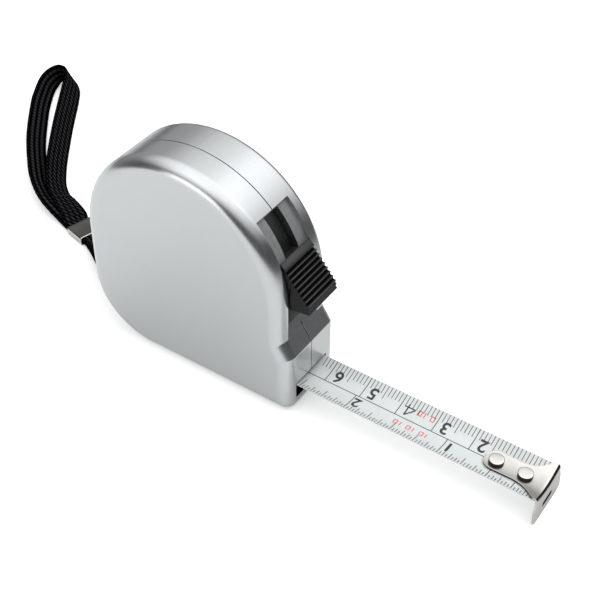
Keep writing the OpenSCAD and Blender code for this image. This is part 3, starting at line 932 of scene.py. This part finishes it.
def scale_print(mat):
    """Centimetres on the +Y edge, inches in thirty-seconds on the -Y edge, numbers, the middle line."""
    marks = Print()
    edge = BLADE_W / 2 - 0.12
    drawn = HOOK_X - NOSE_X
    for i in range(1, int(drawn) + 1):
        x = HOOK_X - i
        if i % 10 == 0:
            marks.bar(x, 0.1, 0.0, edge)
        else:
            marks.bar(x, 0.085, edge - MM_REACH[i % 5 == 0], edge)
    for i in range(1, int(drawn / INCH * 32) + 1):
        x = HOOK_X - i * INCH / 32
        if i % 32 == 0:
            marks.bar(x, 0.1, -edge, 0.0)
        else:
            marks.bar(x, 0.095, -edge, INCH_REACH[i & -i] - edge)
    marks.line(NOSE_X - 1, HOOK_X - TONGUE + 1.5, 0.0, 0.11)
    for n in range(2, int(drawn / 10) + 1):
        if n == 4:
            marks.four(HOOK_X - 10 * n + 2.5, CM_ROW, 3.3)
        else:
            marks.digit(str(n), HOOK_X - 10 * n + 2.5, CM_ROW, 3.4)
    for n in range(1, int(drawn / INCH) + 1):
        marks.digit(str(n), HOOK_X - INCH * n + 1.4, INCH_ROW, 3.2)
    return marks.piece("scale_print", mat)


def red_print(mat):
    """A row of small red boxes and bars on each half of the blade."""
    marks = Print()
    stroke, pitch, box, high = 0.11, 1.75, 0.9, 1.5
    for first, count, y in ((HOOK_X - 35.2, 3, 3.2), (HOOK_X - 38.9, 6, INCH_ROW)):
        for i in range(count):
            x = first + i * pitch
            marks.bar(x, stroke, y - high / 2, y + high / 2)
            if i % 2 == 0:
                marks.bar(x + box, stroke, y - high / 2, y + high / 2)
                marks.line(x, x + box, y - high / 2 + stroke, stroke)
                marks.line(x, x + box, y + high / 2 - stroke, stroke)
    return marks.piece("red_print", mat)


# ------------------------------------------------------------------ hook


def tongue_half_width(s):
    """Half width of the tongue at s mm from its inner end."""
    waist, slim = TONGUE_WAIST
    if s < TONGUE_R:
        return math.sqrt(max(0.0, TONGUE_R ** 2 - (TONGUE_R - s) ** 2))
    if s < waist:
        return TONGUE_R - (TONGUE_R - slim) * (s - TONGUE_R) / (waist - TONGUE_R)
    t = min(1.0, (s - waist) / (TONGUE - waist - 1.1))
    return slim + (HOOK_HW - slim) * t ** 2.6


def tongue_points(u, s):
    """Upper and under side of the tongue, s mm from its inner end; u goes from -1 to 1 across it."""
    y = u * tongue_half_width(s)
    x, z = HOOK_X - TONGUE + s, cup_height(y, HOOK_LIFT)
    return (x, y, z + SHEET_T), (x, y, z)


def bend_centre(u):
    y = u * HOOK_HW
    return HOOK_X - BEND_R + HOOK_T - PLATE_LEAN, y, cup_height(y, HOOK_LIFT) + SHEET_T - BEND_R


def bend_points(u, angle):
    """Outer and inner side of the bend, angle radians down from the tongue."""
    x, y, z = bend_centre(u)
    radii = BEND_R, BEND_R - SHEET_T
    return tuple((x + r * math.sin(angle), y, z + r * math.cos(angle)) for r in radii)


def plate_points(u, t):
    """Front and back of the front plate, t from 0 at the bend to 1 at its round-cornered lower edge."""
    x, y, z = bend_centre(u)
    grown = min(1.0, t / 0.55)
    wide = y * (1 + PLATE_FLARE * grown * grown * (3 - 2 * grown))
    beyond = max(0.0, abs(wide) - PLATE_FLAT)
    low = PLATE_Z + PLATE_ROUND - math.sqrt(PLATE_ROUND ** 2 - beyond ** 2)
    level = z + (low - z) * t
    front = x + BEND_R + PLATE_LEAN * t
    return (front, wide, level), (front - SHEET_T, wide, level)


def hook_sheet(mat, front, dark):
    """Tongue, bend and front plate from one folded sheet; the front is a darker nickel as painted shade,
    and the cut edges, the slot's inside and the top of the bend a near-black nickel as painted shade.
    """
    rows = [(tongue_points, s) for s in np.linspace(0.02, TONGUE_R, 9)]
    rows += [(tongue_points, s) for s in np.linspace(TONGUE_R + 0.4, TONGUE - BEND_R, 22)]
    rows += [(bend_points, math.radians(a)) for a in np.linspace(0, 90, 7)[1:]]
    rows += [(plate_points, t) for t in np.linspace(0, 1, 12)[1:]]
    loops = []
    for points, value in rows:
        tops, unders = zip(*[points(u, value) for u in np.linspace(-1, 1, 19)])
        loops.append(tops + unders[::-1])
    hook = loft("hook_sheet", loops, mat)
    half, low, high = NAIL_SLOT
    slot = rounded_box(half, low, high, 0.6, 6)
    cut(hook, loft("nail_slot", [[(x, y, z) for y, z in slot] for x in (HOOK_X - 2, HOOK_X + 3)], None))
    ease_edges(hook, 0.08, 2, 50.0)
    tidy_normals(hook, 40.0)
    hook.data.materials.append(front)
    hook.data.materials.append(dark)
    # painted shade: near-black on the slot, the tongue's edges and the bend, a darker nickel on the front
    # plate
    for face in hook.data.polygons:
        p, n = face.center / MM, face.normal
        in_slot = abs(p.y) < half + 0.1 and low - 0.1 < p.z < high + 0.1 and abs(n.x) < 0.5
        tongue_edge = p.x < HOOK_X - 1.0 and abs(n.z) < 0.45
        on_bend = n.x > 0.25 and n.z > 0.25
        if in_slot or tongue_edge or on_bend:
            face.material_index = 2
        elif abs(n.x) > 0.7:
            face.material_index = 1
    return hook


def rivet(name, x, mat, dark):
    """Tall flat head that stands off the tongue, with its side in near-black nickel as painted shade, and
    a set head under the blade.
    """
    base = cup_height(0.0) + SHEET_T
    r = RIVET_R
    under = [(1.0, -1.75), (1.5, -1.7), (1.55, -1.55), (1.55, -1.3), (1.0, -1.25), (1.0, 0.0)]
    side = [(r - 0.3, 0.0), (r - 0.25, 0.15), (r, 0.35), (r, 0.8)]
    dome = [(r * math.cos(a) - 0.08, 0.88 + 0.12 * math.sin(a)) for a in np.radians(np.linspace(0, 84, 7))]
    made = lathe(name, under + side + dome, (x, 0, base), (0, 0, 1), mat)
    made.data.materials.append(dark)
    # painted shade: the head's side gets the near-black nickel
    for face in made.data.polygons:
        if face.center.z > base * MM and abs(face.normal.z) < 0.8:
            face.material_index = 1
    return made


# ------------------------------------------------------------------ strap


def catmull(p0, p1, p2, p3, t):
    """Point on a smooth curve through p1 and p2, t from 0 to 1 between them."""
    return 0.5 * (2 * p1 + (p2 - p0) * t + (2 * p0 - 5 * p1 + 4 * p2 - p3) * t ** 2
                  + (3 * p1 - p0 - 3 * p2 + p3) * t ** 3)


def strap_line():
    """Points close together along the strap's middle, with the lean and the way along at each."""
    route = [np.array(p, float) for p in STRAP_ROUTE]
    fine = []
    for i in range(len(route) - 1):
        ends = route[max(i - 1, 0)], route[i], route[i + 1], route[min(i + 2, len(route) - 1)]
        fine += [catmull(*ends, t) for t in np.linspace(0, 1, 40, endpoint=False)]
    fine = np.array(fine + [route[-1]])
    along = np.concatenate([[0], np.cumsum(np.linalg.norm(np.diff(fine[:, :3], axis=0), axis=1))])
    places = np.linspace(0, along[-1], int(along[-1] / STRAP_STEP) + 1)
    return np.stack([np.interp(places, along, fine[:, c]) for c in range(4)], 1), places


def strap_frames(line):
    """Which way the strap's width and its face point, all along it."""
    heads = np.gradient(line[:, :3], axis=0)
    heads /= np.linalg.norm(heads, axis=1)[:, None]
    level = np.stack([-heads[:, 1], heads[:, 0], np.zeros(len(heads))], 1)
    level /= np.linalg.norm(level, axis=1)[:, None]
    lean = np.radians(line[:, 3])[:, None]
    wide = level * np.cos(lean) + np.array([0, 0, 1]) * np.sin(lean)
    wide -= heads * np.sum(wide * heads, axis=1)[:, None]
    wide /= np.linalg.norm(wide, axis=1)[:, None]
    return wide, np.cross(wide, heads)


def knit_relief(s, v, outer):
    """Height of the yarn over the band, in mm: slanted stitch columns outside, long ribs inside."""
    if outer:
        length, column = STITCH
        c = v / column
        slant = c - np.floor(c)
        stitch = np.abs(np.sin(np.pi * (s / length + slant)))
        groove = np.abs(np.sin(np.pi * c)) ** 0.5
        return KNIT_DEPTH * stitch * (0.1 + 0.9 * groove)
    length, width = RIB
    rib = np.abs(np.cos(np.pi * v / width))
    cross = np.abs(np.sin(np.pi * s / length))
    return KNIT_DEPTH * rib * (0.55 + 0.45 * cross)


def strap_band(mat):
    """The whole strap as one knitted band, its middle line as a path, and its length in metres."""
    line, places = strap_line()
    wide, face = strap_frames(line)
    half_w, half_t = STRAP_W / 2 - 0.1, STRAP_T / 2 - KNIT_DEPTH
    across = np.linspace(-1, 1, 53)
    taper = np.sqrt(np.clip(1 - np.abs(across) ** 10, 0.02, 1))
    v = across * half_w
    loops, crowns = [], []
    for i, s in enumerate(places):
        raised = knit_relief(s, v, True) * taper, knit_relief(s, v, False) * taper
        up, down = half_t * taper + raised[0], half_t * taper + raised[1]
        mid = line[i, :3]
        ring = [tuple(mid + wide[i] * a + face[i] * b) for a, b in zip(v, up)]
        ring += [tuple(mid + wide[i] * a - face[i] * b) for a, b in zip(v[::-1], down[::-1])]
        loops.append(ring)
        crowns += list(np.concatenate([raised[0], raised[1][::-1]]) / KNIT_DEPTH)
    band = loft("strap_band", loops, mat, 80.0)
    crown = band.data.attributes.new("crown", "FLOAT", "POINT")
    crown.data.foreach_set("value", crowns)
    path = [tuple(p[:3] * MM) for p in line[::6]] + [tuple(line[-1, :3] * MM)]
    return band, path, float(places[-1]) * MM


def ferrule(mat, dark):
    """Folded sheet clasp round both runs of the strap; its rims are bright and its flat faces darker, but
    for a band at the end toward the case that keeps the bright nickel as a painted highlight.
    """
    length, width, height = FERRULE_SIZE
    turn = Matrix.Rotation(math.radians(FERRULE_TURN), 3, "Z")
    centre = Vector((FERRULE_MID[0], FERRULE_MID[1], height / 2))
    ends = [(inset, inward - length / 2) for inset, inward in FERRULE_RIM]
    loops = []
    for inset, along in ends + [(inset, -along) for inset, along in ends[::-1]]:
        outline = rounded_box(width / 2, -height / 2, height / 2, FERRULE_ROUND, 6, inset)
        loops.append([tuple(turn @ Vector((along, a, b)) + centre) for a, b in outline])
    clasp = loft("ferrule_clasp", loops, mat, 50.0, ring=True)
    clasp.data.materials.append(dark)
    heading = turn @ Vector((1, 0, 0))
    # painted highlight: the flat faces near the end toward the case keep the bright nickel
    for face in clasp.data.polygons:
        along = (face.center / MM - centre).dot(heading)
        if abs(face.normal.z) > 0.6 and along > 0.5 - length / 2:
            face.material_index = 1
    return clasp


# ------------------------------------------------------------------ assembly


def finish_cad(names, mat):
    """A CAD node that is shown as it is gets a better material."""
    for name in names:
        node = frame["nodes"][name]
        node.data.materials.clear()
        node.data.materials.append(mat)


def put(piece, body, slot, *stands_for):
    """Says which body carries the piece and hides the CAD nodes it replaces; its material slot argument is
    not used.
    """
    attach(piece, body)
    if stands_for:
        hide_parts(*stands_for)


add_camera()
add_studio()
add_floor()

silver = silver_paint()
black = black_plastic()
strip_black = black_plastic("strip_plastic", 0.003)
# painted shade: a duller black for the grip's sides and the plate under the grip
dull_shade_black = black_plastic("dull_shade_plastic", 0.008, 0.16)
shade_black = black_plastic("shaded_plastic", 0.002, 0.02)
# painted shade: darkened silver for the ledges and walls of the button's channel
shaded_recess_silver = recess_paint()
plate = nickel("nickel", 0.6)
# painted highlight: a lighter copy of the nickel for the rivets
head = nickel("lit_head_nickel", 0.66)
# painted shade: a near-black copy of the nickel for the hook's edges and the rivets' sides
shade_nickel = nickel("shaded_nickel", 0.03)
white = enamel()
inner = plain_moulding()
steel = spring_steel()

put(case_half("shell_left", -1, silver, shade_black, shaded_recess_silver), "case", "case_silver", "case_left")
put(case_half("shell_right", 1, silver, shade_black, shaded_recess_silver), "case", "case_silver", "case_right")
put(thumb_button(black, dull_shade_black, shade_black), "lock", "button_black", "lock_button")

# painted shade: a near-black strip where the mouth's inside lies in shade
put(mouth_wiper(shade_black), "case", "button_black")

strip = blade(white)
scale = scale_print(ink("ink_black", (0.015, 0.015, 0.02)))
red = red_print(ink("ink_red", (0.55, 0.02, 0.012)))
for piece in (strip, scale, red):
    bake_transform(piece)
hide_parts("tape_blade")

# painted shade: the hook's front plate in a darker copy of the nickel
put(hook_sheet(plate, nickel("shaded_front_nickel", 0.5), shade_nickel), "hook", "plated_steel", "end_hook")
rivets = [rivet("rivet_" + str(i + 1), x, head, shade_nickel) for i, x in enumerate(RIVET_X)]
for piece in rivets:
    put(piece, "tape", "plated_steel")
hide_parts("hook_rivets")

band, path, band_length = strap_band(knit())
put(band, "case", "strap_knit", "wrist_strap")
clasp = ferrule(plate, dull_nickel())
put(clasp, "case", "plated_steel", "strap_ferrule")

finish_cad(["lock_strip"], strip_black)
finish_cad(["brake_pad"], soft_rubber())
finish_cad(["case_screws", "post_screw", "return_spring"], steel)
finish_cad(["arbor_post", "strap_pin", "hook_backing", "blade_anchor"], plate)
finish_cad(["blade_coil"], white)
finish_cad(["spool_drum", "spool_flange_left", "spool_flange_right"], inner)
finish_cad(["liner_disc_left", "liner_disc_right"], inner)
